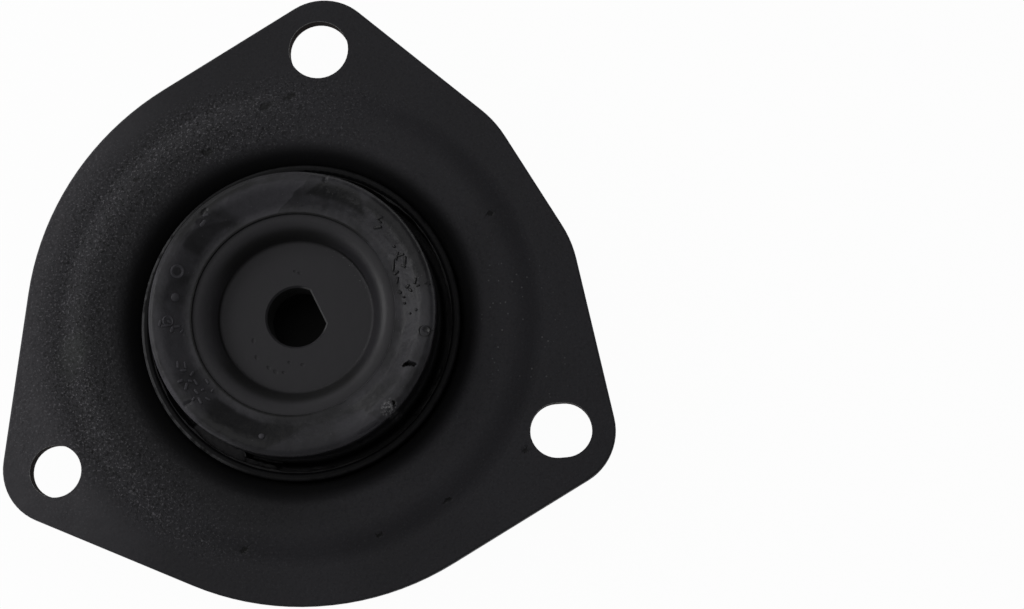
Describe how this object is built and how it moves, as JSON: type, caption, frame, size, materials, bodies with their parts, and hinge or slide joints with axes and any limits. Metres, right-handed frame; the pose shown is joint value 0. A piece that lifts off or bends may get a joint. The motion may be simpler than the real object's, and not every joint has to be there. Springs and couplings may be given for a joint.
{
  "type": "strut mount",
  "caption": "Strut mount: a lobed pressed steel plate with a drawn cup that holds a dished steel core, with a D-shaped rod hole, in moulded rubber.",
  "frame": {"origin": "centre of the rod hole, in the plane of the flange face that seats against the vehicle's body", "axes": "+Z along the rod hole to the spring side, where the damper rod comes in; +Y about towards the top lobe, whose hole centre is 2.5 degrees short of it"},
  "size_m": [0.1288, 0.1311, 0.032],
  "materials": {
    "coated_plate": "satin black coat with a fine orange-peel grain",
    "coated_sleeve": "satin black coat",
    "black_rubber": "smooth moulded rubber with a soft gloss",
    "coated_core": "matte black coat"
  },
  "bodies": {
    "root": {"mount_plate": "coated_plate", "outer_sleeve": "coated_sleeve", "rubber_insulator": "black_rubber", "core_front_shell": "coated_core", "core_back_shell": "coated_core"}
  },
  "joints": []
}
